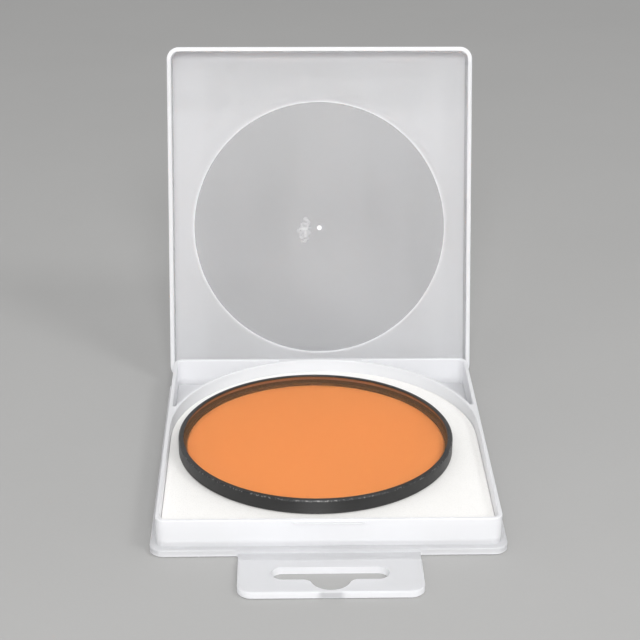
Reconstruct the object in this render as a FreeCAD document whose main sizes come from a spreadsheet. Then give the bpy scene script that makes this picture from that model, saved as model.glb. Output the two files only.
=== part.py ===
import FreeCAD, Part

import math
import os

import Sketcher

# Driving sizes, in millimetres and degrees

DRIVING_SIZES = [
    ("ring_radius", 41.3),
    ("seat_clearance", 5.7),
    ("case_length", 108.9),
    ("plate_thickness", 2.2),
    ("plate_corner", 4.0),
    ("plate_bevel", 0.3),
    ("floor_thickness", 1.8),
    ("side_overhang", 1.65),
    ("front_overhang", 2.0),
    ("rear_overhang", 0.35),
    ("hinge_setback", 1.3),
    ("wall_thickness", 1.2),
    ("wall_height", 8.3),
    ("wall_corner", 3.0),
    ("wall_bevel", 0.2),
    ("rib_thickness", 1.1),
    ("rib_end_round", 0.5),
    ("tab_width", 50.4),
    ("tab_reach", 21.5),
    ("tab_corner", 4.0),
    ("tab_root_round", 0.8),
    ("fold_length", 5.3),
    ("fold_thickness", 1.2),
    ("slot_width", 32.0),
    ("slot_height", 6.2),
    ("slot_to_tab_end", 12.5),
    ("notch_radius", 5.5),
    ("notch_flare", 2.5),
    ("neck_width", 1.0),
    ("base_catch_width", 20.0),
    ("lid_catch_width", 23.5),
    ("catch_level", 6.9),
    ("catch_depth", 0.45),
    ("catch_height", 0.7),
    ("catch_slope", 0.15),
    ("catch_root", 0.3),
    ("catch_clearance", 0.15),
    ("rim_gap", 0.1),
    ("lid_height", 10.4),
    ("lid_wall", 1.4),
    ("lid_panel", 1.1),
    ("lid_corner", 4.0),
    ("lid_edge_round", 2.0),
    ("lid_rim_bevel", 0.2),
    ("window_radius", 41.9),
    ("window_from_hinge", 49.6),
    ("window_recess", 0.3),
    ("gate_radius", 0.75),
    ("gate_height", 0.2),
    ("hinge_reach", 0.4),
    ("lid_lean", 16.5),
    ("web_width", 97.0),
    ("web_thickness", 0.35),
    ("web_clearance", 0.02),
    ("foam_thickness", 4.8),
    ("foam_side_gap", 0.4),
    ("foam_front_gap", 1.0),
    ("foam_corner", 2.5),
    ("filter_lift", 0.1),
    ("filter_shift_left", 2.75),
    ("filter_shift_front", 1.65),
    ("ring_height", 4.3),
    ("ring_wall", 1.0),
    ("ring_edge", 0.3),
    ("lip_width", 0.45),
    ("lip_thickness", 0.25),
    ("glass_clearance", 0.05),
    ("glass_thickness", 1.4),
    ("retainer_chamfer", 0.15),
    ("core_thickness", 0.2),
    ("retainer_width", 1.15),
    ("retainer_height", 0.95),
    ("retainer_notch_width", 1.5),
    ("retainer_notch_depth", 0.5),
]

# Sizes worked out from the driving ones by the sheet itself

WORKED_SIZES = [
    ("inner_side", "=ring_radius + seat_clearance"),
    ("wall_side", "=inner_side + wall_thickness"),
    ("half_width", "=wall_side + side_overhang"),
    ("half_length", "=case_length / 2"),
    ("plate_rear", "=half_length - hinge_setback"),
    ("wall_front", "=half_length - front_overhang"),
    ("wall_rear", "=plate_rear - rear_overhang"),
    ("wall_top", "=plate_thickness + wall_height"),
    ("cavity_depth", "=wall_top - floor_thickness"),
    ("inner_corner", "=wall_corner - wall_thickness"),
    ("inner_front", "=wall_front - wall_thickness"),
    ("inner_rear", "=wall_rear - wall_thickness"),
    ("seat_centre", "=inner_rear - inner_side"),
    ("rib_radius", "=inner_side + rib_thickness"),
    ("rib_reach", "=sqrt(rib_radius ^ 2 - inner_side ^ 2)"),
    ("pocket_front", "=seat_centre + rib_reach"),
    ("half_tab", "=tab_width / 2"),
    ("tab_end", "=half_length + tab_reach"),
    ("fold_side", "=half_tab + tab_root_round"),
    ("fold_end", "=half_length + fold_length"),
    ("fold_depth", "=plate_thickness - fold_thickness"),
    ("slot_far", "=tab_end - slot_to_tab_end"),
    ("slot_near", "=slot_far + slot_height"),
    ("slot_straight", "=(slot_width - slot_height) / 2"),
    ("notch_centre", "=tab_end - neck_width - notch_radius"),
    ("base_catch_low", "=plate_thickness + catch_level"),
    ("base_catch_top", "=base_catch_low + catch_height"),
    ("base_catch_flat_low", "=base_catch_low + catch_slope"),
    ("base_catch_flat_top", "=base_catch_top - catch_slope"),
    ("base_catch_root", "=wall_front - catch_root"),
    ("base_catch_tip", "=wall_front + catch_depth"),
    ("hinge_place", "=half_length + hinge_reach"),
    ("open_angle", "=90 + lid_lean"),
    ("lid_far", "=hinge_reach + case_length"),
    ("lid_depth", "=lid_height - rim_gap"),
    ("lid_inner_side", "=half_width - lid_wall"),
    ("lid_inner_near", "=hinge_reach + lid_wall"),
    ("lid_inner_far", "=lid_far - lid_wall"),
    ("lid_inner_depth", "=lid_depth - lid_panel"),
    ("lid_inner_corner", "=lid_corner - lid_wall"),
    ("lid_ceiling", "=lid_height - lid_panel"),
    ("lid_catch_top", "=catch_level - catch_clearance"),
    ("lid_catch_low", "=lid_catch_top - catch_height"),
    ("lid_catch_flat_low", "=lid_catch_low + catch_slope"),
    ("lid_catch_flat_top", "=lid_catch_top - catch_slope"),
    ("lid_catch_root", "=lid_inner_far + catch_root"),
    ("lid_catch_tip", "=lid_inner_far - catch_depth"),
    ("web_turn", "=90 - lid_lean"),
    ("web_end_reach", "=hinge_reach - web_clearance"),
    ("web_end_depth", "=rim_gap + web_thickness / 2"),
    ("web_end_y", "=hinge_place + web_end_reach * sin(lid_lean) + web_end_depth * cos(lid_lean)"),
    ("web_end_level", "=web_end_reach * cos(lid_lean) - web_end_depth * sin(lid_lean)"),
    ("web_end_rise", "=web_end_level + plate_bevel + web_thickness / 2"),
    ("web_bend", "=web_end_rise / (1 - cos(web_turn))"),
    ("web_bend_y", "=web_end_y - web_bend * sin(web_turn)"),
    ("web_low", "=plate_thickness - plate_bevel - web_thickness"),
    ("web_bend_z", "=web_low + web_thickness / 2 + web_bend"),
    ("web_outer_bend", "=web_bend + web_thickness / 2"),
    ("web_inner_bend", "=web_bend - web_thickness / 2"),
    ("foam_side", "=inner_side - foam_side_gap"),
    ("foam_front", "=inner_front - foam_front_gap"),
    ("filter_level", "=floor_thickness + foam_thickness + filter_lift"),
    ("ring_inner", "=ring_radius - ring_wall"),
    ("lip_inner", "=ring_inner - lip_width"),
    ("lip_low", "=ring_height - lip_thickness"),
    ("ring_edge_top", "=ring_height - ring_edge"),
    ("ring_edge_radius", "=ring_radius - ring_edge"),
    ("glass_radius", "=ring_inner - glass_clearance"),
    ("front_glass_level", "=lip_low - glass_thickness"),
    ("core_level", "=front_glass_level - core_thickness"),
    ("rear_glass_level", "=core_level - glass_thickness"),
    ("retainer_inner", "=glass_radius - retainer_width"),
    ("retainer_low", "=rear_glass_level - retainer_height"),
    ("retainer_edge", "=retainer_inner + retainer_chamfer"),
    ("retainer_edge_low", "=retainer_low + retainer_chamfer"),
    ("half_notch", "=retainer_notch_width / 2"),
]

doc = FreeCAD.newDocument("FilterCase")
sheet = doc.addObject("Spreadsheet::Sheet", "Sizes")


def fill_sheet():
    """Write one row per size: its name, its value or formula, and the alias."""
    for row, (name, content) in enumerate(DRIVING_SIZES + WORKED_SIZES, start=1):
        sheet.set("A%d" % row, name)
        sheet.set("B%d" % row, str(content))
        sheet.setAlias("B%d" % row, name)
    doc.recompute()


def size(name):
    """Value of a size; a leading minus sign turns it round, and "0" is zero."""
    if name == "0":
        return 0.0
    if name.startswith("-"):
        return -float(sheet.get(name[1:]))
    return float(sheet.get(name))


def bind(item, target, name):
    """Tie a property or a constraint to a size of the sheet."""
    sign = "-" if name.startswith("-") else ""
    item.setExpression(target, sign + "Sizes." + name.lstrip("-"))


# Sketch helpers

START, END, CENTRE = 1, 2, 3
ORIGIN = -1
X_LINE, Y_LINE = -1, -2


def new_body(label):
    body = doc.addObject("PartDesign::Body", label)
    body.Label = label
    return body


def new_sketch(body, name, plane, level=None):
    """Sketch on one of the body's own planes, raised by a size along its normal."""
    sketch = body.newObject("Sketcher::SketchObject", name)
    support = [f for f in body.Origin.OriginFeatures if f.Role == plane][0]
    sketch.AttachmentSupport = [(support, "")]
    sketch.MapMode = "FlatFace"
    if level:
        bind(sketch, "AttachmentOffset.Base.z", level)
    return sketch


def pin_coordinate(sketch, kind, axis_line, geometry, end, coordinate):
    """Fix one coordinate of a point to a signed size, measured from the origin."""
    value = size(coordinate)
    if coordinate == "0":
        sketch.addConstraint(Sketcher.Constraint("PointOnObject", geometry, end, axis_line))
        return
    if value >= 0:
        index = sketch.addConstraint(Sketcher.Constraint(kind, ORIGIN, START, geometry, end, value))
        bind(sketch, "Constraints[%d]" % index, coordinate)
        return
    opposite = coordinate[1:] if coordinate.startswith("-") else "-" + coordinate
    index = sketch.addConstraint(Sketcher.Constraint(kind, geometry, end, ORIGIN, START, -value))
    bind(sketch, "Constraints[%d]" % index, opposite)


def pin_point(sketch, geometry, end, x, y):
    pin_coordinate(sketch, "DistanceX", Y_LINE, geometry, end, x)
    pin_coordinate(sketch, "DistanceY", X_LINE, geometry, end, y)


def draw_chain(sketch, points, closed=True):
    """Straight lines through named corners, every corner pinned to its sizes."""
    corners = [FreeCAD.Vector(size(x), size(y), 0) for x, y in points]
    count = len(points) if closed else len(points) - 1
    lines = []
    for index in range(count):
        first = corners[index]
        second = corners[(index + 1) % len(points)]
        lines.append(sketch.addGeometry(Part.LineSegment(first, second), False))
    for index, line in enumerate(lines):
        pin_point(sketch, line, START, *points[index])
        if index + 1 < len(lines) or closed:
            following = lines[(index + 1) % len(lines)]
            sketch.addConstraint(Sketcher.Constraint("Coincident", line, END, following, START))
    if not closed:
        pin_point(sketch, lines[-1], END, *points[-1])
    return lines


def draw_rectangle(sketch, west, south, east, north):
    return draw_chain(sketch, [(west, south), (east, south), (east, north), (west, north)])


def draw_arc(sketch, centre, start, end, start_joint, end_joint):
    """Arc between two drawn ends, turning left from start to end about a given centre."""
    middle = FreeCAD.Vector(centre[0], centre[1], 0)
    radius = math.hypot(start[0] - centre[0], start[1] - centre[1])
    angle_from = math.atan2(start[1] - centre[1], start[0] - centre[0])
    angle_to = math.atan2(end[1] - centre[1], end[0] - centre[0])
    circle = Part.Circle(middle, FreeCAD.Vector(0, 0, 1), radius)
    arc = sketch.addGeometry(Part.ArcOfCircle(circle, angle_from, angle_to), False)
    sketch.addConstraint(Sketcher.Constraint("Coincident", arc, START, *start_joint))
    sketch.addConstraint(Sketcher.Constraint("Coincident", arc, END, *end_joint))
    return arc


def draw_circle(sketch, x, y, radius):
    middle = FreeCAD.Vector(size(x), size(y), 0)
    circle = sketch.addGeometry(Part.Circle(middle, FreeCAD.Vector(0, 0, 1), size(radius)), False)
    pin_point(sketch, circle, CENTRE, x, y)
    index = sketch.addConstraint(Sketcher.Constraint("Radius", circle, size(radius)))
    bind(sketch, "Constraints[%d]" % index, radius)


def draw_round_ended(sketch, side, front, rear):
    """Straight front and sides, closed at the rear by a half circle as wide as the sides."""
    centre_y = size(rear)
    points = [("-" + side, rear), ("-" + side, front), (side, front), (side, rear)]
    lines = draw_chain(sketch, points, closed=False)
    start = (size(side), centre_y)
    end = (-size(side), centre_y)
    arc = draw_arc(sketch, (0, centre_y), start, end, (lines[-1], END), (lines[0], START))
    pin_coordinate(sketch, "DistanceY", X_LINE, arc, CENTRE, rear)


# Feature helpers


def pad(body, name, sketch, length, symmetric=False):
    feature = body.newObject("PartDesign::Pad", name)
    feature.Profile = sketch
    feature.Length = size(length)
    bind(feature, "Length", length)
    if symmetric:
        feature.SideType = "Symmetric"
    doc.recompute()


def pocket(body, name, sketch, depth, upward=False):
    """Cut along the sketch's normal; upward cuts towards +Z, otherwise down into the part."""
    before = body.Shape.Volume
    feature = body.newObject("PartDesign::Pocket", name)
    feature.Profile = sketch
    feature.Length = size(depth)
    bind(feature, "Length", depth)
    feature.Reversed = upward
    doc.recompute()
    if body.Shape.Volume >= before:
        raise RuntimeError(name + " removes nothing")


def round_edges(body, name, edges, radius):
    """Fillet the chosen edges of the body's last feature."""
    if not edges:
        raise RuntimeError(name + " finds no edge")
    last = body.Tip
    feature = body.newObject("PartDesign::Fillet", name)
    feature.Base = (last, edges)
    feature.Radius = size(radius)
    bind(feature, "Radius", radius)
    doc.recompute()


def bevel_edges(body, name, edges, width):
    """Chamfer the chosen edges of the body's last feature."""
    if not edges:
        raise RuntimeError(name + " finds no edge")
    last = body.Tip
    feature = body.newObject("PartDesign::Chamfer", name)
    feature.Base = (last, edges)
    feature.Size = size(width)
    bind(feature, "Size", width)
    doc.recompute()


def close_to(first, second):
    return abs(first - second) < 0.01


def upright_edges(shape, places, low=None):
    """Names of the vertical straight edges that stand at the given places in plan."""
    found = []
    for index, edge in enumerate(shape.Edges, start=1):
        box = edge.BoundBox
        if box.XLength > 0.01 or box.YLength > 0.01 or box.ZLength < 0.1:
            continue
        if low is not None and not close_to(box.ZMin, low):
            continue
        if any(close_to(box.XMin, x) and close_to(box.YMin, y) for x, y in places):
            found.append("Edge%d" % index)
    return found


def edges_at_level(shape, level, inside=None):
    """Names of the edges that lie flat at one height and pass a test on their box."""
    found = []
    for index, edge in enumerate(shape.Edges, start=1):
        box = edge.BoundBox
        if not (close_to(box.ZMin, level) and close_to(box.ZMax, level)):
            continue
        if inside is None or inside(box):
            found.append("Edge%d" % index)
    return found


# Base of the case: plate with hang tab, walls, filter seat and catch


def corner_pocket(sketch, side):
    """Outline of the hollow between the seat's round rib and one rear corner."""
    along = "inner_side" if side > 0 else "-inner_side"
    across = "rib_reach" if side > 0 else "-rib_reach"
    points = [(along, "pocket_front"), (along, "inner_rear"), (across, "inner_rear")]
    lines = draw_chain(sketch, points, closed=False)
    first = (size(along), size("pocket_front"))
    last = (size(across), size("inner_rear"))
    centre = (0, size("seat_centre"))
    if side > 0:
        arc = draw_arc(sketch, centre, first, last, (lines[0], START), (lines[-1], END))
    else:
        arc = draw_arc(sketch, centre, last, first, (lines[-1], END), (lines[0], START))
    pin_coordinate(sketch, "DistanceY", X_LINE, arc, CENTRE, "seat_centre")


def fold_groove(body):
    """Thinner strip across the tab's root, where the tab can be folded."""
    sketch = new_sketch(body, "FoldOutline", "XY_Plane", "fold_thickness")
    draw_rectangle(sketch, "-fold_side", "-fold_end", "fold_side", "-half_length")
    pocket(body, "FoldGroove", sketch, "fold_depth", upward=True)


def hang_slot(body):
    """Long slot with round ends and a round notch that centres the hook."""
    sketch = new_sketch(body, "SlotOutline", "XY_Plane")
    near_y, far_y = -size("slot_near"), -size("slot_far")
    middle_y = (near_y + far_y) / 2
    straight = size("slot_straight")
    lower = draw_chain(sketch, [("-slot_straight", "-slot_near"), ("slot_straight", "-slot_near")], False)
    upper = draw_chain(sketch, [("slot_straight", "-slot_far"), ("-slot_straight", "-slot_far")], False)
    right = draw_arc(sketch, (straight, middle_y), (straight, near_y), (straight, far_y),
                     (lower[0], END), (upper[0], START))
    left = draw_arc(sketch, (-straight, middle_y), (-straight, far_y), (-straight, near_y),
                    (upper[0], END), (lower[0], START))
    pin_coordinate(sketch, "DistanceX", Y_LINE, right, CENTRE, "slot_straight")
    pin_coordinate(sketch, "DistanceX", Y_LINE, left, CENTRE, "-slot_straight")
    pocket(body, "HangSlot", sketch, "plate_thickness", upward=True)
    notch = new_sketch(body, "NotchOutline", "XY_Plane")
    draw_circle(notch, "0", "-notch_centre", "notch_radius")
    pocket(body, "SlotNotch", notch, "plate_thickness", upward=True)
    reach = math.sqrt(size("notch_radius") ** 2 - (size("slot_near") - size("notch_centre")) ** 2)
    meets = [(-reach, near_y), (reach, near_y)]
    round_edges(body, "NotchFlare", upright_edges(body.Shape, meets), "notch_flare")


def draw_catch(body, name, root, flat_points, width):
    sketch = new_sketch(body, name + "Profile", "YZ_Plane")
    (low, flat_low, flat_top, top), tip = flat_points
    draw_chain(sketch, [(root, low), (tip, flat_low), (tip, flat_top), (root, top)])
    pad(body, name, sketch, width, symmetric=True)


def base_outline(body):
    """Plate with its hang tab, and the block that becomes the walls."""
    outline = new_sketch(body, "PlateOutline", "XY_Plane")
    draw_chain(outline, [
        ("-half_width", "-half_length"), ("-half_tab", "-half_length"), ("-half_tab", "-tab_end"),
        ("half_tab", "-tab_end"), ("half_tab", "-half_length"), ("half_width", "-half_length"),
        ("half_width", "plate_rear"), ("-half_width", "plate_rear"),
    ])
    pad(body, "Plate", outline, "plate_thickness")
    walls = new_sketch(body, "WallOutline", "XY_Plane", "plate_thickness")
    draw_rectangle(walls, "-wall_side", "-wall_front", "wall_side", "wall_rear")
    pad(body, "Walls", walls, "wall_height")


def base_corners(body):
    """Round the upright corners of the walls, the plate and its tab."""
    side, front, rear = size("half_width"), -size("half_length"), size("plate_rear")
    tab_side, tab_end = size("half_tab"), -size("tab_end")
    wall_side, wall_front, wall_rear = size("wall_side"), -size("wall_front"), size("wall_rear")
    walls = [(turn * wall_side, end) for turn in (-1, 1) for end in (wall_front, wall_rear)]
    plate = [(turn * side, end) for turn in (-1, 1) for end in (front, rear)]
    rounds = [
        ("WallCorners", walls, "wall_corner"),
        ("PlateCorners", plate, "plate_corner"),
        ("TabCorners", [(-tab_side, tab_end), (tab_side, tab_end)], "tab_corner"),
        ("TabRoots", [(-tab_side, front), (tab_side, front)], "tab_root_round"),
    ]
    for name, places, radius in rounds:
        round_edges(body, name, upright_edges(body.Shape, places), radius)


def base_edges(body):
    """Take the sharpness off the plate's outer edges, over and under."""
    over = edges_at_level(body.Shape, size("plate_thickness"), on_plate_rim)
    bevel_edges(body, "PlateUpperEdge", over, "plate_bevel")
    bevel_edges(body, "PlateUnderEdge", edges_at_level(body.Shape, 0.0), "plate_bevel")


def on_plate_rim(box):
    """True for the plate's outer edges, not for those where the walls meet it."""
    side = size("half_width") - 0.01
    beside = box.XMin < -side or box.XMax > side
    return beside or box.YMin < -size("half_length") + 0.01 or box.YMax > size("plate_rear") - 0.01


def base_hollow(body):
    """One cut for the filter's seat and the two hollows behind its round rib."""
    hollow = new_sketch(body, "HollowOutline", "XY_Plane", "wall_top")
    draw_round_ended(hollow, "inner_side", "-inner_front", "seat_centre")
    for turn in (1, -1):
        corner_pocket(hollow, turn)
    pocket(body, "Hollow", hollow, "cavity_depth")
    side, front, rear = size("inner_side"), -size("inner_front"), size("inner_rear")
    corners = [(-side, front), (side, front), (-side, rear), (side, rear)]
    round_edges(body, "HollowCorners", upright_edges(body.Shape, corners), "inner_corner")
    reach, start = size("rib_reach"), size("pocket_front")
    tips = [(-side, start), (side, start), (-reach, rear), (reach, rear)]
    round_edges(body, "RibEnds", upright_edges(body.Shape, tips), "rib_end_round")


def make_base():
    body = new_body("case_base")
    base_outline(body)
    base_corners(body)
    base_edges(body)
    fold_groove(body)
    hang_slot(body)
    base_hollow(body)
    heights = ("base_catch_low", "base_catch_flat_low", "base_catch_flat_top", "base_catch_top")
    draw_catch(body, "BaseCatch", "-base_catch_root", (heights, "-base_catch_tip"), "base_catch_width")
    rims = edges_at_level(body.Shape, size("wall_top"))
    bevel_edges(body, "WallTops", rims, "wall_bevel")
    return body


# Lid of the case, drawn closed about the hinge line and leaned back by its placement


def lid_shell(body):
    """Rounded block of the lid, hollowed from its rim."""
    outline = new_sketch(body, "LidOutline", "XY_Plane", "rim_gap")
    draw_rectangle(outline, "-half_width", "-lid_far", "half_width", "-hinge_reach")
    pad(body, "LidBlock", outline, "lid_depth")
    side, far, near = size("half_width"), -size("lid_far"), -size("hinge_reach")
    corners = [(-side, far), (side, far), (-side, near), (side, near)]
    round_edges(body, "LidCorners", upright_edges(body.Shape, corners), "lid_corner")
    top_edges = edges_at_level(body.Shape, size("lid_height"))
    round_edges(body, "LidTopEdge", top_edges, "lid_edge_round")
    hollow = new_sketch(body, "LidHollowOutline", "XY_Plane", "rim_gap")
    draw_rectangle(hollow, "-lid_inner_side", "-lid_inner_far", "lid_inner_side", "-lid_inner_near")
    pocket(body, "LidHollow", hollow, "lid_inner_depth", upward=True)
    side, far, near = size("lid_inner_side"), -size("lid_inner_far"), -size("lid_inner_near")
    corners = [(-side, far), (side, far), (-side, near), (side, near)]
    round_edges(body, "LidHollowCorners", upright_edges(body.Shape, corners), "lid_inner_corner")


def lid_window(body):
    """Shallow round recess of the clear window, and the moulding's gate mark at its middle outside."""
    window = new_sketch(body, "WindowOutline", "XY_Plane", "lid_ceiling")
    draw_circle(window, "0", "-window_from_hinge", "window_radius")
    pocket(body, "WindowRecess", window, "window_recess", upward=True)
    gate = new_sketch(body, "GateOutline", "XY_Plane", "lid_height")
    draw_circle(gate, "0", "-window_from_hinge", "gate_radius")
    pad(body, "GateMark", gate, "gate_height")


def make_lid():
    body = new_body("case_lid")
    lid_shell(body)
    lid_window(body)
    heights = ("lid_catch_low", "lid_catch_flat_low", "lid_catch_flat_top", "lid_catch_top")
    draw_catch(body, "LidCatch", "-lid_catch_root", (heights, "-lid_catch_tip"), "lid_catch_width")
    rim_edges = edges_at_level(body.Shape, size("rim_gap"))
    bevel_edges(body, "LidRim", rim_edges, "lid_rim_bevel")
    turn = FreeCAD.Rotation(FreeCAD.Vector(-1, 0, 0), size("open_angle"))
    body.Placement = FreeCAD.Placement(FreeCAD.Vector(0, size("hinge_place"), size("plate_thickness")), turn)
    bind(body, "Placement.Base.y", "hinge_place")
    bind(body, "Placement.Base.z", "plate_thickness")
    bind(body, "Placement.Rotation.Angle", "open_angle")
    return body


# Living hinge: a thin web that leaves the plate flat and turns up into the lid's wall


def make_web():
    strip = doc.addObject("Part::Box", "WebStrip")
    bind(strip, "Length", "web_width")
    strip.setExpression("Width", "Sizes.web_bend_y - Sizes.plate_rear")
    bind(strip, "Height", "web_thickness")
    strip.setExpression("Placement.Base.x", "-Sizes.web_width / 2")
    bind(strip, "Placement.Base.y", "plate_rear")
    bind(strip, "Placement.Base.z", "web_low")
    rolls = []
    for name, radius in (("WebOuterBend", "web_outer_bend"), ("WebInnerBend", "web_inner_bend")):
        roll = doc.addObject("Part::Cylinder", name)
        bind(roll, "Radius", radius)
        bind(roll, "Height", "web_width")
        roll.Placement.Rotation = FreeCAD.Rotation(FreeCAD.Vector(0, 1, 0), 90)
        roll.setExpression("Placement.Base.x", "-Sizes.web_width / 2")
        bind(roll, "Placement.Base.y", "web_bend_y")
        bind(roll, "Placement.Base.z", "web_bend_z")
        rolls.append(roll)
    bind(rolls[0], "Angle", "web_turn")
    bend = doc.addObject("Part::Cut", "WebBend")
    bend.Base, bend.Tool = rolls
    web = doc.addObject("Part::Fuse", "hinge_web")
    web.Label = "hinge_web"
    web.Base = strip
    web.Tool = bend
    web.Refine = True
    return web


# Foam cushion that fills the seat under the filter


def make_foam():
    body = new_body("foam_pad")
    outline = new_sketch(body, "FoamOutline", "XY_Plane")
    draw_round_ended(outline, "foam_side", "-foam_front", "seat_centre")
    pad(body, "FoamSheet", outline, "foam_thickness")
    side, front = size("foam_side"), -size("foam_front")
    corners = upright_edges(body.Shape, [(-side, front), (side, front)])
    round_edges(body, "FoamCorners", corners, "foam_corner")
    body.Placement.Base = FreeCAD.Vector(0, 0, size("floor_thickness"))
    bind(body, "Placement.Base.z", "floor_thickness")
    return body


# Filter: ring, retaining ring and the laminated glass between them


def place_in_filter(body):
    """Set a filter piece on the foam, a little left of and in front of the case's centre."""
    left, front = -size("filter_shift_left"), -size("filter_shift_front")
    body.Placement.Base = FreeCAD.Vector(left, front, size("filter_level"))
    bind(body, "Placement.Base.x", "-filter_shift_left")
    bind(body, "Placement.Base.y", "-filter_shift_front")
    bind(body, "Placement.Base.z", "filter_level")


def revolve(body, name, sketch):
    feature = body.newObject("PartDesign::Revolution", name)
    feature.Profile = sketch
    feature.ReferenceAxis = (sketch, ["V_Axis"])
    feature.Angle = 360
    doc.recompute()


def make_ring():
    body = new_body("filter_ring")
    profile = new_sketch(body, "RingProfile", "XZ_Plane")
    draw_chain(profile, [
        ("ring_inner", "0"), ("ring_edge_radius", "0"), ("ring_radius", "ring_edge"),
        ("ring_radius", "ring_edge_top"), ("ring_edge_radius", "ring_height"),
        ("lip_inner", "ring_height"), ("lip_inner", "lip_low"), ("ring_inner", "lip_low"),
    ])
    revolve(body, "Ring", profile)
    place_in_filter(body)
    return body


def make_retainer():
    body = new_body("retaining_ring")
    profile = new_sketch(body, "RetainerProfile", "XZ_Plane")
    draw_chain(profile, [
        ("retainer_edge", "retainer_low"), ("glass_radius", "retainer_low"),
        ("glass_radius", "rear_glass_level"), ("retainer_inner", "rear_glass_level"),
        ("retainer_inner", "retainer_edge_low"),
    ])
    revolve(body, "Retainer", profile)
    notch = new_sketch(body, "SpannerNotch", "XY_Plane", "retainer_low")
    draw_rectangle(notch, "-half_notch", "-ring_radius", "half_notch", "ring_radius")
    pocket(body, "SpannerNotches", notch, "retainer_notch_depth", upward=True)
    place_in_filter(body)
    return body


def make_disc(label, level, thickness):
    body = new_body(label)
    outline = new_sketch(body, label.title().replace("_", "") + "Outline", "XY_Plane", level)
    draw_circle(outline, "0", "0", "glass_radius")
    pad(body, label.title().replace("_", ""), outline, thickness)
    place_in_filter(body)
    return body


def make_glass():
    layers = [
        ("rear_glass", "rear_glass_level", "glass_thickness"),
        ("colour_core", "core_level", "core_thickness"),
        ("front_glass", "front_glass_level", "glass_thickness"),
    ]
    return [make_disc(label, level, thickness) for label, level, thickness in layers]


def check_objects(parts):
    """Stop when any object failed to compute or any piece is not one sound solid."""
    for item in doc.Objects:
        if "Invalid" in item.State or "Error" in item.State:
            raise RuntimeError(item.Label + " failed: " + ", ".join(item.State))
    for part in parts:
        if part.Shape.isNull() or not part.Shape.isValid() or len(part.Shape.Solids) != 1:
            raise RuntimeError(part.Label + " is not one valid solid")


def main():
    fill_sheet()
    parts = [make_base(), make_lid(), make_web(), make_foam(), make_ring(), make_retainer()]
    parts += make_glass()
    doc.recompute()
    check_objects(parts)
    os.makedirs("parts", exist_ok=True)
    for part in parts:
        part.Shape.exportStep("parts/" + part.Label + ".step")
        box = part.Shape.optimalBoundingBox()
        print("%-15s volume %9.1f  x %7.2f %7.2f  y %7.2f %7.2f  z %7.2f %7.2f" % (
            part.Label, part.Shape.Volume, box.XMin, box.XMax, box.YMin, box.YMax, box.ZMin, box.ZMax))


main()
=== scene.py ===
"""Looks of the orange filter in its open frosted case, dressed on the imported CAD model."""

import math

import bmesh
import bpy
from mathutils import Matrix, Vector, noise


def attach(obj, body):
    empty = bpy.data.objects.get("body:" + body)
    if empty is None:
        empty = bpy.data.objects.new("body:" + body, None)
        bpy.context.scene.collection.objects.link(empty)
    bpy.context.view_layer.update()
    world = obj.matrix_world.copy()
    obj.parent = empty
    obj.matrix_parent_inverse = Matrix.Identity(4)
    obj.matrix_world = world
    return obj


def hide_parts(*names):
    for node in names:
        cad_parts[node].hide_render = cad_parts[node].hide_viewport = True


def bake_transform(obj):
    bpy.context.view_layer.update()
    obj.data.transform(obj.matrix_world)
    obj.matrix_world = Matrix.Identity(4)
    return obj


MM = 0.001

# Floor in metres, just below the case's underside so that the two faces never coincide
FLOOR_LEVEL = -0.00008
FLOOR_REACH = 4.0

# Where things are, in millimetres in the row frame

FILTER_CENTRE = (-2.75, -1.65)
RING_RADIUS = 41.3
RING_TOP = 11.0
GLASS_RADIUS = 40.25
GLASS_LOW = 7.75
GLASS_TOP = 10.75
GLASS_EDGE = 0.15
LAYER_LEVEL = 9.25
LENS_POINTS = 192
HINGE = (54.85, 2.2)
LID_LEAN = math.radians(16.5)
WINDOW_RADIUS = 41.9
WINDOW_FROM_HINGE = 49.6
LID_INNER_FACE = 9.3
PLATE_REAR = 53.15
PLATE_FRONT = -54.45
PLATE_TOP = 2.2
FOLD_LENGTH = 5.3
FOLD_TOP = 1.2
WALL_FOOT = 3.4
WALL_TOP = 10.5
INNER_SIDE = 47.0
INNER_FRONT = -51.25
FOAM_LOW = 1.8
FOAM_TOP = 6.6
FOAM_SURFACE = FOAM_TOP - 0.1
FOAM_SIDE = 46.95
FOAM_FRONT = -50.2
FOAM_CORNER = 2.5
FOAM_SMALLEST_CORNER = 0.8
SEAT_CENTRE = 4.6
WEB_WIDTH = 96.6
WEB_HALF_THICKNESS = 0.165
WEB_LEVEL = 1.725
WEB_BEND_START = 54.2
WEB_BEND_RADIUS = 1.0625

# The foam under the filter: radius and rise, pressed down by the ring and proud inside it
PRESSED_FOAM = [
    (41.3, 0.0), (40.9, -0.02), (39.3, -0.02), (39.0, 0.1), (38.9, 0.45), (38.75, 0.85), (38.4, 1.0),
    (36.0, 1.02), (32.0, 1.02), (28.0, 1.02), (24.0, 1.02), (20.0, 1.02), (16.0, 1.02), (12.0, 1.02),
    (8.0, 1.02), (4.0, 1.02), (1.0, 1.02),
]

# The foam's underside as shares of its outline, and its cut side as share of height and inset
FOAM_UNDERSIDE = (0.04, 0.35, 0.7, 0.9)
FOAM_CUT_SIDE = ((0.02, 0.2), (0.2, 0.05), (0.5, 0.35), (0.8, 0.05))

# Steps of the foam's outline round the rear, along a side, round a corner and along the front
REAR_STEPS = 48
SIDE_STEPS = 18
CORNER_STEPS = 6
FRONT_STEPS = 24

# Steps of the foam's rounded upper edge, and from there in to the filter
EDGE_STEPS = 5
SURFACE_STEPS = 10

# Steps of the web along its flat part, round its bend and across its width
WEB_FLAT_STEPS = 6
WEB_BEND_STEPS = 12
WEB_WIDTH_STEPS = 40

# Share of light that passes through each plastic, set against the photograph
BASE_CLEARNESS = 0.45
LID_CLEARNESS = 0.74
WINDOW_CLEARNESS = 0.86
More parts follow.
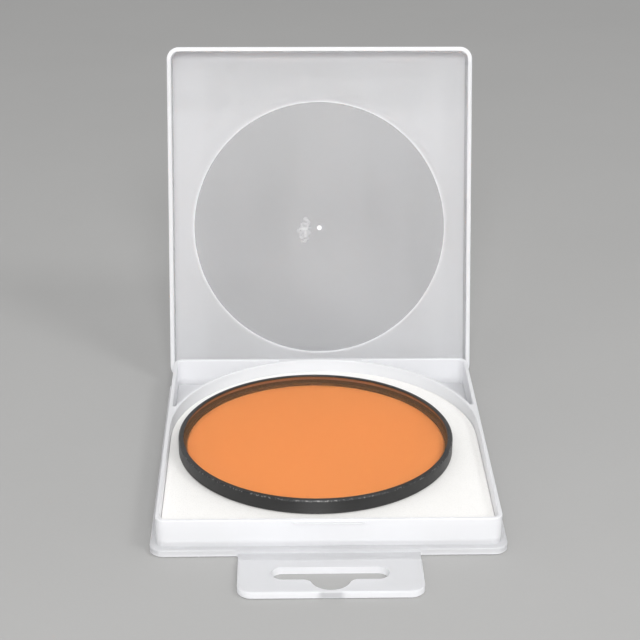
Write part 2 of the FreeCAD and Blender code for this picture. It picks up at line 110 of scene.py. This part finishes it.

# Share of that light held back in each part; a share below zero lets more pass
# The edge, wall, front and inner wall shares are painted light that makes upright faces whiter
BASE_WHITENESS = {
    "edge": 0.42, "neck": -1.7, "tab": -0.04, "wall top": 0.3, "wall": 0.36,
    "inner wall": 0.92, "front": 0.2, "fold": -0.28, "plate": -0.17,
}
# The window edge share is a painted highlight, the upper part share painted shade, and the top edge share
# painted light in the top wall's shadow
LID_WHITENESS = {"window edge": 0.5, "rim": 0.42, "upper part": -0.08, "top edge": 0.4, "sides": 0.05}

# The rubbed patch on the window, in metres from its middle: offset and half size
SCUFF_OFFSET = (0.005, 0.0008)
SCUFF_SIZE = (0.0022, 0.0042)

# Lights: name, place and target in metres, size in metres, power in watts
LIGHTS = [
    ("key", (0.0, -1.14, 0.8), (0, 0, 0.03), 0.5, 13.2),
    ("side", (0.69, -0.44, 1.02), (0, 0, 0.01), 0.34, 2.6),
]
SOFT_LIGHT = 0.6
BACKDROP = (0.42, 0.416, 0.408, 1.0)

# Camera fitted to the photograph: pitch, yaw and roll in degrees, place in metres, the rest in millimetres
CAMERA_ANGLES = (23.72, 1.39, 0.27)
CAMERA_PLACE = (-0.01297, -0.4708, 0.2545)
LENS = 98.27
SENSOR_WIDTH = 36.0

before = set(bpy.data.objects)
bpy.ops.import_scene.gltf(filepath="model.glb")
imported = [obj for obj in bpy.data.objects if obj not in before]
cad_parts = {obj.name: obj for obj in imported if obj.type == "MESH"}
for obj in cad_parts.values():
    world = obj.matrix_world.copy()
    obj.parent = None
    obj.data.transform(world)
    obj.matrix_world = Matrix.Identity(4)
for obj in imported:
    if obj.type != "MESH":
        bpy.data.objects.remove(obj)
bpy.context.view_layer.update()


# Node graph helper


class Look:
    """A procedural material: one Principled shader and the nodes that feed it."""

    def __init__(self, name):
        self.material = bpy.data.materials.new(name)
        self.material.use_nodes = True
        self.tree = self.material.node_tree
        self.tree.nodes.clear()
        output = self.add("ShaderNodeOutputMaterial")
        self.shader = self.add("ShaderNodeBsdfPrincipled")
        self.tree.links.new(self.shader.outputs[0], output.inputs["Surface"])
        self.place = self.add("ShaderNodeTexCoord").outputs["Object"]

    def add(self, kind, **settings):
        node = self.tree.nodes.new(kind)
        for name, value in settings.items():
            setattr(node, name, value)
        return node

    def feed(self, socket, value):
        """Link another node's output to a socket, or set the socket's own value."""
        if isinstance(value, bpy.types.NodeSocket):
            self.tree.links.new(value, socket)
        else:
            socket.default_value = value

    def set(self, **values):
        """Constants and links for the shader, by socket name with underscores for spaces."""
        for name, value in values.items():
            self.feed(self.shader.inputs[name.replace("_", " ")], value)

    def math(self, operation, first, second=0.0):
        node = self.add("ShaderNodeMath", operation=operation)
        self.feed(node.inputs[0], first)
        self.feed(node.inputs[1], second)
        return node.outputs[0]

    def vector(self, operation, first, second):
        node = self.add("ShaderNodeVectorMath", operation=operation)
        self.feed(node.inputs[0], first)
        self.feed(node.inputs[1], second)
        return node.outputs["Value" if operation in ("DOT_PRODUCT", "LENGTH") else "Vector"]

    def noise(self, scale, detail=3.0, roughness=0.5, place=None):
        node = self.add("ShaderNodeTexNoise")
        self.feed(node.inputs["Vector"], place or self.place)
        self.feed(node.inputs["Scale"], scale)
        self.feed(node.inputs["Detail"], detail)
        self.feed(node.inputs["Roughness"], roughness)
        return node.outputs["Fac"]

    def cells(self, scale):
        node = self.add("ShaderNodeTexVoronoi")
        self.feed(node.inputs["Vector"], self.place)
        self.feed(node.inputs["Scale"], scale)
        return node.outputs["Distance"]

    def stretched(self, scale, turn=(0.0, 0.0, 0.0)):
        node = self.add("ShaderNodeMapping")
        self.feed(node.inputs["Vector"], self.place)
        node.inputs["Scale"].default_value = scale
        node.inputs["Rotation"].default_value = turn
        return node.outputs["Vector"]

    def span(self, value, low, high, to_low, to_high):
        """Value carried smoothly from one range to another and held at its ends."""
        node = self.add("ShaderNodeMapRange", interpolation_type="SMOOTHSTEP")
        for index, item in enumerate((value, low, high, to_low, to_high)):
            self.feed(node.inputs[index], item)
        return node.outputs[0]

    def rising(self, value, low, high):
        """Mask that goes from zero to one between two values."""
        return self.span(value, low, high, 0.0, 1.0)

    def falling(self, value, low, high):
        """Mask that goes from one to zero between two values."""
        return self.span(value, low, high, 1.0, 0.0)

    def both(self, first, second):
        """Mask that is one where both masks are."""
        return self.math("MULTIPLY", first, second)

    def blend_colours(self, factor, first, second):
        node = self.add("ShaderNodeMix", data_type="RGBA")
        self.feed(node.inputs[0], factor)
        self.feed(node.inputs[6], first)
        self.feed(node.inputs[7], second)
        return node.outputs[2]

    def relief(self, height, distance, strength=1.0):
        node = self.add("ShaderNodeBump")
        self.feed(node.inputs["Height"], height)
        self.feed(node.inputs["Distance"], distance)
        self.feed(node.inputs["Strength"], strength)
        self.set(Normal=node.outputs["Normal"])

    def mix(self, factor, first, second):
        """First value where the factor is zero, second where it is one."""
        return self.math("ADD", first, self.math("MULTIPLY", factor, self.math("SUBTRACT", second, first)))

    def length(self, across, along):
        squares = [self.math("MULTIPLY", value, value) for value in (across, along)]
        return self.math("SQRT", self.math("ADD", *squares))

    def coordinate(self, origin, direction):
        """Distance of the shaded point from an origin along a direction, in metres."""
        offset = self.vector("SUBTRACT", self.place, [v * MM for v in origin])
        return self.vector("DOT_PRODUCT", offset, direction)


# Materials


class Frosted(Look):
    """Frosted polypropylene: part of the light passes, the rest is scattered inside."""

    def __init__(self, name, clearness):
        super().__init__(name)
        cloud = self.noise(38.0, 4.0, 0.6)
        pale, paler = (0.955, 0.96, 0.985, 1.0), (0.98, 0.982, 0.995, 1.0)
        self.set(Base_Color=self.blend_colours(cloud, pale, paler), IOR=1.49, Specular_IOR_Level=0.35)
        self.passed = self.span(cloud, 0.25, 0.75, clearness - 0.03, clearness + 0.03)
        self.rough = self.span(self.noise(160.0, 3.0), 0.3, 0.7, 0.46, 0.56)
        self.grain = self.noise(5200.0, 2.0, 0.5)

    def whiten(self, mask, share):
        """Hold back a share of the passing light where a mask is one; below zero, let more of it pass."""
        kept = self.math("SUBTRACT", 1.0, self.math("MULTIPLY", mask, share))
        self.passed = self.math("MULTIPLY", self.passed, kept)


def base_plastic():
    """The base, whiter on walls and edges, with painted light on its upright faces and the inner walls,
    clearer on the plate, in the fold and at the slot's neck.
    """
    look = Frosted("frosted_base", BASE_CLEARNESS)
    place = look.add("ShaderNodeSeparateXYZ")
    look.feed(place.inputs[0], look.place)
    across, along, height = place.outputs
    normal = look.add("ShaderNodeTexCoord").outputs["Normal"]
    flatness = look.math("ABSOLUTE", look.vector("DOT_PRODUCT", normal, (0.0, 0.0, 1.0)))
    upright = look.falling(flatness, 0.5, 0.8)
    ahead = look.math("SUBTRACT", PLATE_FRONT * MM, along)
    tab = look.rising(ahead, 0.0002, 0.0006)
    narrow = look.falling(look.math("ABSOLUTE", across), 0.002, 0.0045)
    neck = look.both(narrow, look.rising(ahead, 0.019, 0.02))
    low_edge = look.falling(height, 0.0005, 0.0009)
    # painted light: upright faces at the plate's lower edge and on the tab are made whiter, standing in for
    # light the lamps give them too little of
    look.whiten(look.both(upright, look.math("MAXIMUM", low_edge, tab)), BASE_WHITENESS["edge"])
    look.whiten(look.both(upright, neck), BASE_WHITENESS["neck"])
    look.whiten(look.both(tab, look.math("SUBTRACT", 1.0, upright)), BASE_WHITENESS["tab"])
    wall_top = look.rising(height, (WALL_TOP - 0.3) * MM, (WALL_TOP - 0.2) * MM)
    look.whiten(wall_top, BASE_WHITENESS["wall top"])
    wall = look.rising(height, WALL_FOOT * MM, (WALL_FOOT + 0.6) * MM)
    # painted light: the walls' upright faces are made whiter, for the same reason
    look.whiten(look.both(upright, wall), BASE_WHITENESS["wall"])
    aside = look.math("ABSOLUTE", look.math("SUBTRACT", look.math("ABSOLUTE", across), INNER_SIDE * MM))
    beside = look.falling(aside, 0.0002, 0.0004)
    inside = look.both(beside, look.rising(along, (INNER_FRONT - 0.25) * MM, (INNER_FRONT + 0.25) * MM))
    # painted light: the side walls' inner faces, in shade between wall and foam, are made almost white
    look.whiten(look.both(look.both(upright, wall), inside), BASE_WHITENESS["inner wall"])
    front = look.falling(look.math("ABSOLUTE", ahead), 0.0002, 0.0005)
    # painted light: the plate's front face is made whiter, a painted bright line along it
    look.whiten(look.both(front, upright), BASE_WHITENESS["front"])
    fold = look.falling(ahead, FOLD_LENGTH * MM, FOLD_LENGTH * MM + 0.0003)
    fold = look.both(fold, look.falling(height, FOLD_TOP * MM, (FOLD_TOP + 0.2) * MM))
    look.whiten(look.both(tab, fold), BASE_WHITENESS["fold"])
    plate = look.falling(height, PLATE_TOP * MM, (PLATE_TOP + 0.2) * MM)
    look.whiten(look.both(plate, look.math("SUBTRACT", 1.0, tab)), BASE_WHITENESS["plate"])
    look.set(Transmission_Weight=look.passed, Roughness=look.rough)
    look.relief(look.grain, 0.00002, 0.35)
    return look.material


def lid_plastic():
    """The lid, frosted but for its round window, whiter along its rim, with a painted highlight at the
    window's edge, painted shade above the window and painted light under the top wall.
    """
    look = Frosted("frosted_lid", LID_CLEARNESS)
    up = (0.0, math.sin(LID_LEAN), math.cos(LID_LEAN))
    inward = (0.0, -math.cos(LID_LEAN), math.sin(LID_LEAN))
    centre = lid_point(0.0, WINDOW_FROM_HINGE, LID_INNER_FACE)
    across = look.coordinate(centre, (1.0, 0.0, 0.0))
    along = look.coordinate(centre, up)
    depth = look.coordinate(centre, inward)
    radius = look.length(across, along)
    limit = WINDOW_RADIUS * MM
    window = look.falling(radius, limit - 0.00015, limit + 0.00005)
    # painted highlight: a whiter ring along the window's edge
    ledge = look.math("ABSOLUTE", look.math("SUBTRACT", radius, limit + 0.00015))
    look.whiten(look.falling(ledge, 0.0001, 0.0004), LID_WHITENESS["window edge"])
    rim = (LID_INNER_FACE - 0.5) * MM
    look.whiten(look.rising(depth, rim, rim + 0.0002), LID_WHITENESS["rim"])
    # painted shade: the panel above the window is made clearer, so it shows darker
    look.whiten(look.rising(along, 0.036, 0.042), LID_WHITENESS["upper part"])
    # painted light: a whiter strip under the top wall, where the top wall casts its shadow on the panel
    look.whiten(look.rising(along, 0.0545, 0.0565), LID_WHITENESS["top edge"])
    look.whiten(look.rising(look.math("ABSOLUTE", across), 0.036, 0.04), LID_WHITENESS["sides"])
    scuff = scuff_mask(look, across, along)
    haze = look.span(look.noise(1.0, 2.0, 0.5, look.stretched((40.0, 12.0, 12.0))), 0.3, 0.8, 0.0, 0.06)
    lost = look.math("ADD", haze, look.math("MULTIPLY", scratch_mask(look), 0.07))
    lost = look.math("ADD", lost, look.math("MULTIPLY", scuff, 0.22))
    gate = look.span(radius, 0.0007, 0.0009, 0.8, 0.0)
    clear = look.math("SUBTRACT", WINDOW_CLEARNESS, look.math("MAXIMUM", lost, gate))
    passed = look.mix(window, look.passed, clear)
    rough = look.mix(window, look.rough, look.math("ADD", 0.06, look.math("MULTIPLY", scuff, 0.12)))
    look.set(Transmission_Weight=passed, Roughness=rough)
    frost = look.math("MULTIPLY", look.grain, look.math("SUBTRACT", 1.0, window))
    look.relief(frost, 0.00002, 0.35)
    return look.material


def scuff_mask(look, across, along):
    """One small rubbed patch left of the window's middle, taller than wide and uneven."""
    sideways = look.math("DIVIDE", look.math("ADD", across, SCUFF_OFFSET[0]), SCUFF_SIZE[0])
    upwards = look.math("DIVIDE", look.math("ADD", along, SCUFF_OFFSET[1]), SCUFF_SIZE[1])
    wander = look.math("MULTIPLY", look.math("SUBTRACT", look.noise(700.0, 3.0), 0.5), 2.2)
    reach = look.math("ADD", look.length(sideways, upwards), wander)
    near = look.falling(reach, 0.5, 1.1)
    return look.math("MULTIPLY", near, look.span(look.noise(1100.0, 3.0), 0.38, 0.62, 0.15, 1.0))


def scratch_mask(look):
    """Thin, long, mostly upright scratches, broken up by a coarse noise."""
    total = None
    for turn, seed in ((0.12, 31.0), (-0.2, 57.0)):
        place = look.stretched((260.0, 9.0, 5.0), (0.0, turn, 0.0))
        line = look.noise(1.0, 0.0, 0.5, look.vector("ADD", place, (seed, 0.0, 0.0)))
        line = look.falling(look.math("ABSOLUTE", look.math("SUBTRACT", line, 0.5)), 0.0, 0.006)
        total = line if total is None else look.math("MAXIMUM", total, line)
    patch = look.rising(look.noise(30.0, 2.0), 0.4, 0.75)
    return look.both(total, patch)


def web_plastic():
    """Thin clear plastic of the hinge, with fine streaks along its width."""
    look = Look("clear_web")
    streak = look.noise(1.0, 2.0, 0.5, look.stretched((300.0, 3000.0, 3000.0)))
    look.set(Base_Color=look.blend_colours(streak, (0.95, 0.95, 0.965, 1.0), (0.975, 0.975, 0.985, 1.0)))
    look.set(Transmission_Weight=look.span(streak, 0.3, 0.7, 0.55, 0.62), IOR=1.49)
    look.set(Roughness=look.span(streak, 0.3, 0.7, 0.3, 0.38))
    return look.material


def foam_look():
    """White open foam, with painted shade in its pits, painted paler under the filter to make up for light
    lost through the glass.
    """
    look = Look("white_foam")
    pores = look.cells(2600.0)
    fine = look.noise(3400.0, 3.0, 0.6)
    pit = look.rising(pores, 0.1, 0.45)
    # painted shade: the foam is darker in its pits
    tone = look.blend_colours(pit, (0.82, 0.81, 0.79, 1.0), (0.9, 0.89, 0.87, 1.0))
    across = look.coordinate((FILTER_CENTRE[0], FILTER_CENTRE[1], 0), (1, 0, 0))
    along = look.coordinate((FILTER_CENTRE[0], FILTER_CENTRE[1], 0), (0, 1, 0))
    # painted light: the foam under the filter is paler, making up for light lost through the glass
    painted_light_under_filter = look.falling(look.length(across, along), 0.0385, 0.0405)
    tone = look.blend_colours(painted_light_under_filter, tone, (0.98, 0.97, 0.96, 1.0))
    shade = look.span(look.noise(70.0, 3.0), 0.3, 0.7, 0.0, 0.12)
    look.set(Base_Color=look.blend_colours(shade, tone, (0.88, 0.87, 0.85, 1.0)))
    look.set(Roughness=look.span(fine, 0.3, 0.7, 0.88, 0.98))
    look.set(Specular_IOR_Level=0.2, Sheen_Weight=0.1, Sheen_Roughness=0.5)
    look.relief(look.math("ADD", pit, look.math("MULTIPLY", fine, 0.5)), 0.00008, 0.5)
    return look.material


def black_metal(name, dark, pale):
    """Satin black anodising between two greys, worn to bright specks along the rim's outer edges."""
    look = Look(name)
    across = look.coordinate((FILTER_CENTRE[0], FILTER_CENTRE[1], 0), (1, 0, 0))
    along = look.coordinate((FILTER_CENTRE[0], FILTER_CENTRE[1], 0), (0, 1, 0))
    radius = look.length(across, along)
    height = look.coordinate((0, 0, RING_TOP), (0, 0, 1))
    outer = look.rising(radius, (RING_RADIUS - 0.4) * MM, (RING_RADIUS - 0.2) * MM)
    upper = look.rising(height, -0.00045, -0.00025)
    specks = look.rising(look.noise(1500.0, 3.0, 0.7), 0.52, 0.66)
    worn = look.both(look.both(outer, upper), specks)
    turned = look.noise(1.0, 2.0, 0.5, look.stretched((60.0, 60.0, 5000.0)))
    tone = look.blend_colours(turned, (dark, dark, dark, 1.0), (pale, pale, pale, 1.0))
    look.set(Base_Color=look.blend_colours(look.math("MULTIPLY", worn, 0.7), tone, (0.42, 0.41, 0.4, 1.0)))
    look.set(Metallic=look.math("MULTIPLY", worn, 0.8))
    look.set(Roughness=look.span(look.noise(700.0, 3.0), 0.3, 0.7, 0.42, 0.48), Specular_IOR_Level=0.6)
    look.set(Anisotropic=0.85, Anisotropic_Rotation=0.25)
    look.set(Tangent=look.add("ShaderNodeTangent", direction_type="RADIAL", axis="Z").outputs[0])
    look.relief(look.math("ADD", turned, look.math("MULTIPLY", look.noise(2600.0, 3.0), 0.6)), 0.00003, 0.4)
    return look.material


def orange_glass():
    """The orange disc; its index is well below real glass's 1.52, which would make the orange too dark."""
    look = Look("orange_glass")
    drift = look.noise(25.0, 2.0)
    look.set(Base_Color=look.blend_colours(drift, (1.0, 0.575, 0.305, 1.0), (1.0, 0.59, 0.315, 1.0)))
    look.set(Transmission_Weight=0.93, IOR=1.08)
    look.set(Roughness=look.span(look.noise(300.0, 4.0, 0.6), 0.55, 0.85, 0.0, 0.02))
    return look.material


def ground_edge():
    """Ground edge of the glass discs, dark below the orange layer and paler above it."""
    look = Look("ground_glass_edge")
    height = look.coordinate((0, 0, LAYER_LEVEL), (0, 0, 1))
    above = look.rising(height, -0.0001, 0.0001)
    grain = look.noise(1800.0, 3.0)
    tone = look.blend_colours(above, (0.03, 0.014, 0.008, 1.0), (0.25, 0.14, 0.1, 1.0))
    look.set(Base_Color=tone, Roughness=look.span(grain, 0.3, 0.7, 0.45, 0.65))
    look.relief(grain, 0.00002, 0.3)
    return look.material


def table_look():
    """Plain grey table."""
    look = Look("grey_table")
    mottle = look.noise(9.0, 5.0, 0.6)
    look.set(Base_Color=look.blend_colours(mottle, (0.405, 0.403, 0.398, 1.0), (0.435, 0.433, 0.428, 1.0)))
    look.set(Roughness=look.span(look.noise(900.0, 3.0), 0.3, 0.7, 0.8, 0.95), Specular_IOR_Level=0.2)
    look.relief(look.noise(1200.0, 3.0), 0.0001, 0.2)
    return look.material


# Geometry helpers


def lid_point(x, up, depth):
    """Point of the open lid: distance up from the hinge line, and depth from the rim's plane backwards."""
    y = HINGE[0] + up * math.sin(LID_LEAN) + depth * math.cos(LID_LEAN)
    z = HINGE[1] + up * math.cos(LID_LEAN) - depth * math.sin(LID_LEAN)
    return (x, y, z)


def new_object(name, mesh_builder, material):
    mesh = bpy.data.meshes.new(name)
    mesh_builder.to_mesh(mesh)
    mesh_builder.free()
    mesh.materials.append(material)
    for polygon in mesh.polygons:
        polygon.use_smooth = True
    thing = bpy.data.objects.new(name, mesh)
    bpy.context.scene.collection.objects.link(thing)
    return thing


def skin(builder, loops):
    """Quads between neighbouring closed loops of points, with the first and last loop filled."""
    rows = [[builder.verts.new(point) for point in loop] for loop in loops]
    for first, second in zip(rows, rows[1:]):
        for index in range(len(first)):
            after = (index + 1) % len(first)
            builder.faces.new((first[index], first[after], second[after], second[index]))
    builder.faces.new(list(reversed(rows[0])))
    builder.faces.new(rows[-1])


def circle_loop(centre, radius, level, count):
    loop = []
    for index in range(count):
        angle = math.tau * index / count
        x, y = centre[0] + radius * math.cos(angle), centre[1] + radius * math.sin(angle)
        loop.append(Vector((x, y, level)) * MM)
    return loop


# The three layers of glass, seen as one orange disc


def make_lens():
    builder = bmesh.new()
    profile = [
        (GLASS_RADIUS - GLASS_EDGE, GLASS_LOW), (GLASS_RADIUS, GLASS_LOW + GLASS_EDGE),
        (GLASS_RADIUS, GLASS_TOP - GLASS_EDGE), (GLASS_RADIUS - GLASS_EDGE, GLASS_TOP),
    ]
    skin(builder, [circle_loop(FILTER_CENTRE, radius, level, LENS_POINTS) for radius, level in profile])
    lens = new_object("orange_lens", builder, orange_glass())
    lens.data.materials.append(ground_edge())
    for polygon in lens.data.polygons:
        polygon.use_smooth = False
        polygon.material_index = int(abs(polygon.normal.z) < 0.9)
    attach(lens, "filter")
    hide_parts("front_glass", "colour_core", "rear_glass")


# Foam pad: rounded upper edge, faint waves on top, cut sides that pull in a little


def foam_outline(share, inset):
    """Points of the pad's outline, drawn in by an inset and then shrunk towards the middle."""
    side = FOAM_SIDE - inset
    front = FOAM_FRONT + inset
    corner = max(FOAM_CORNER - inset, FOAM_SMALLEST_CORNER)
    points = []
    for index in range(REAR_STEPS + 1):
        angle = math.pi * index / REAR_STEPS
        points.append((side * math.cos(angle), SEAT_CENTRE + side * math.sin(angle)))
    for index in range(1, SIDE_STEPS):
        points.append((-side, SEAT_CENTRE + (front + corner - SEAT_CENTRE) * index / SIDE_STEPS))
    for index in range(CORNER_STEPS + 1):
        angle = math.pi + math.pi / 2 * index / CORNER_STEPS
        points.append((-side + corner + corner * math.cos(angle), front + corner + corner * math.sin(angle)))
    for index in range(1, FRONT_STEPS):
        points.append((-side + corner + (2 * side - 2 * corner) * index / FRONT_STEPS, front))
    for index in range(CORNER_STEPS + 1):
        angle = 1.5 * math.pi + math.pi / 2 * index / CORNER_STEPS
        points.append((side - corner + corner * math.cos(angle), front + corner + corner * math.sin(angle)))
    for index in range(1, SIDE_STEPS):
        points.append((side, front + corner + (SEAT_CENTRE - front - corner) * index / SIDE_STEPS))
    return [(x * share, y * share) for x, y in points]


def rounded(radius):
    """A circle about the filter's middle with one point towards each point of the pad's outline."""
    points = []
    for x, y in foam_outline(1.0, 0.0):
        offset = Vector((x - FILTER_CENTRE[0], y - FILTER_CENTRE[1]))
        points.append(tuple(Vector(FILTER_CENTRE) + offset.normalized() * radius))
    return points


def foam_wave(x, y):
    """Small rise and fall of the foam's surface, in millimetres."""
    coarse = noise.noise(Vector((x * 0.06, y * 0.06, 3.1)))
    fine = noise.noise(Vector((x * 0.4, y * 0.4, 8.2)))
    return 0.07 * coarse + 0.03 * fine


def make_foam():
    builder = bmesh.new()
    loops = []
    thickness = FOAM_TOP - FOAM_LOW
    for share in FOAM_UNDERSIDE:
        loops.append([Vector((x, y, FOAM_LOW)) * MM for x, y in foam_outline(share, 0.5)])
    for height, inset in FOAM_CUT_SIDE:
        level = FOAM_LOW + thickness * height
        loops.append([Vector((x, y, level)) * MM for x, y in foam_outline(1.0, inset)])
    for step in range(1, EDGE_STEPS + 1):
        angle = math.pi / 2 * step / EDGE_STEPS
        inset = 0.05 + 0.25 * (1 - math.cos(angle))
        level = FOAM_TOP - 0.4 + 0.3 * math.sin(angle)
        loops.append([
            Vector((x, y, level + 0.4 * foam_wave(x, y) * step / EDGE_STEPS)) * MM
            for x, y in foam_outline(1.0, inset)
        ])
    for step in range(SURFACE_STEPS):
        share = step / SURFACE_STEPS
        loop = []
        for (x, y), (round_x, round_y) in zip(foam_outline(0.99, 0.3), rounded(RING_RADIUS + 0.2)):
            x, y = x + (round_x - x) * share, y + (round_y - y) * share
            loop.append(Vector((x, y, FOAM_SURFACE + foam_wave(x, y))) * MM)
        loops.append(loop)
    for radius, rise in PRESSED_FOAM:
        loops.append([
            Vector((x, y, FOAM_SURFACE + rise + foam_wave(x, y) * 0.6)) * MM for x, y in rounded(radius)
        ])
    skin(builder, loops)
    bmesh.ops.recalc_face_normals(builder, faces=builder.faces)
    foam = new_object("foam_cushion", builder, foam_look())
    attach(foam, "case")
    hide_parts("foam_pad")


# Thin web of the living hinge


def web_line():
    """Middle line of the web's section from the plate to the lid's wall: points and their directions."""
    radius, turn = WEB_BEND_RADIUS, math.pi / 2 - LID_LEAN
    start = (PLATE_REAR - 0.05, WEB_LEVEL)
    bend = (WEB_BEND_START, WEB_LEVEL)
    points = []
    for index in range(WEB_FLAT_STEPS + 1):
        share = index / WEB_FLAT_STEPS
        points.append((start[0] + (bend[0] - start[0]) * share, start[1], 0.0))
    for index in range(1, WEB_BEND_STEPS + 1):
        angle = turn * index / WEB_BEND_STEPS
        points.append((bend[0] + radius * math.sin(angle), bend[1] + radius * (1 - math.cos(angle)), angle))
    return points


def make_web():
    half = WEB_HALF_THICKNESS
    section = []
    line = web_line()
    for y, z, angle in line:
        section.append((y - half * math.sin(angle), z + half * math.cos(angle)))
    for y, z, angle in reversed(line):
        section.append((y + half * math.sin(angle), z - half * math.cos(angle)))
    builder = bmesh.new()
    loops = []
    for index in range(WEB_WIDTH_STEPS + 1):
        x = -WEB_WIDTH / 2 + WEB_WIDTH * index / WEB_WIDTH_STEPS
        loops.append([Vector((x, y, z)) * MM for y, z in section])
    skin(builder, loops)
    bmesh.ops.recalc_face_normals(builder, faces=builder.faces)
    web = new_object("hinge_strip", builder, web_plastic())
    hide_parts("hinge_web")
    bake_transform(web)


# Materials of the CAD pieces that are shown as they are


def dress_nodes():
    looks = {"case_base": base_plastic(), "case_lid": lid_plastic()}
    looks["filter_ring"] = black_metal("black_anodised", 0.01, 0.016)
    looks["retaining_ring"] = black_metal("worn_anodised", 0.02, 0.04)
    for name, material in looks.items():
        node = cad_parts[name]
        node.data.materials.clear()
        node.data.materials.append(material)


# Surroundings


def make_floor():
    builder = bmesh.new()
    reach = FLOOR_REACH
    corners = [(-reach, -reach), (reach, -reach), (reach, reach), (-reach, reach)]
    builder.faces.new([builder.verts.new((x, y, FLOOR_LEVEL)) for x, y in corners])
    floor = new_object("floor", builder, table_look())


def add_light(name, place, target, size, power):
    data = bpy.data.lights.new(name, "AREA")
    data.shape = "DISK"
    data.size = size
    data.energy = power
    light = bpy.data.objects.new(name, data)
    light.location = place
    direction = Vector(target) - Vector(place)
    light.rotation_euler = direction.to_track_quat("-Z", "Y").to_euler()
    bpy.context.scene.collection.objects.link(light)


def light_scene():
    for name, place, target, size, power in LIGHTS:
        add_light(name, place, target, size, power)
    world = bpy.data.worlds.new("studio")
    bpy.context.scene.world = world
    world.use_nodes = True
    tree = world.node_tree
    tree.nodes.clear()
    output = tree.nodes.new("ShaderNodeOutputWorld")
    soft = tree.nodes.new("ShaderNodeBackground")
    soft.inputs["Color"].default_value = (1.0, 1.0, 1.0, 1.0)
    soft.inputs["Strength"].default_value = SOFT_LIGHT
    seen = tree.nodes.new("ShaderNodeBackground")
    seen.inputs["Color"].default_value = BACKDROP
    path = tree.nodes.new("ShaderNodeLightPath")
    mix = tree.nodes.new("ShaderNodeMixShader")
    tree.links.new(path.outputs["Is Camera Ray"], mix.inputs["Fac"])
    tree.links.new(soft.outputs[0], mix.inputs[1])
    tree.links.new(seen.outputs[0], mix.inputs[2])
    tree.links.new(mix.outputs[0], output.inputs["Surface"])


def add_camera():
    pitch, yaw, roll = (math.radians(v) for v in CAMERA_ANGLES)
    forward = Vector((math.sin(yaw) * math.cos(pitch), math.cos(yaw) * math.cos(pitch), -math.sin(pitch)))
    level = Vector((math.cos(yaw), -math.sin(yaw), 0.0))
    upright = level.cross(forward)
    right = math.cos(roll) * level + math.sin(roll) * upright
    up = math.cos(roll) * upright - math.sin(roll) * level
    turn = Matrix((right, up, -forward)).transposed()
    data = bpy.data.cameras.new("camera")
    data.sensor_width = SENSOR_WIDTH
    data.lens = LENS
    data.clip_start = 0.01
    camera = bpy.data.objects.new("camera", data)
    camera.matrix_world = Matrix.Translation(CAMERA_PLACE) @ turn.to_4x4()
    bpy.context.scene.collection.objects.link(camera)
    bpy.context.scene.camera = camera


add_camera()
dress_nodes()
make_lens()
make_foam()
make_web()
make_floor()
light_scene()

view = bpy.context.scene.view_settings
view.view_transform = "Standard"
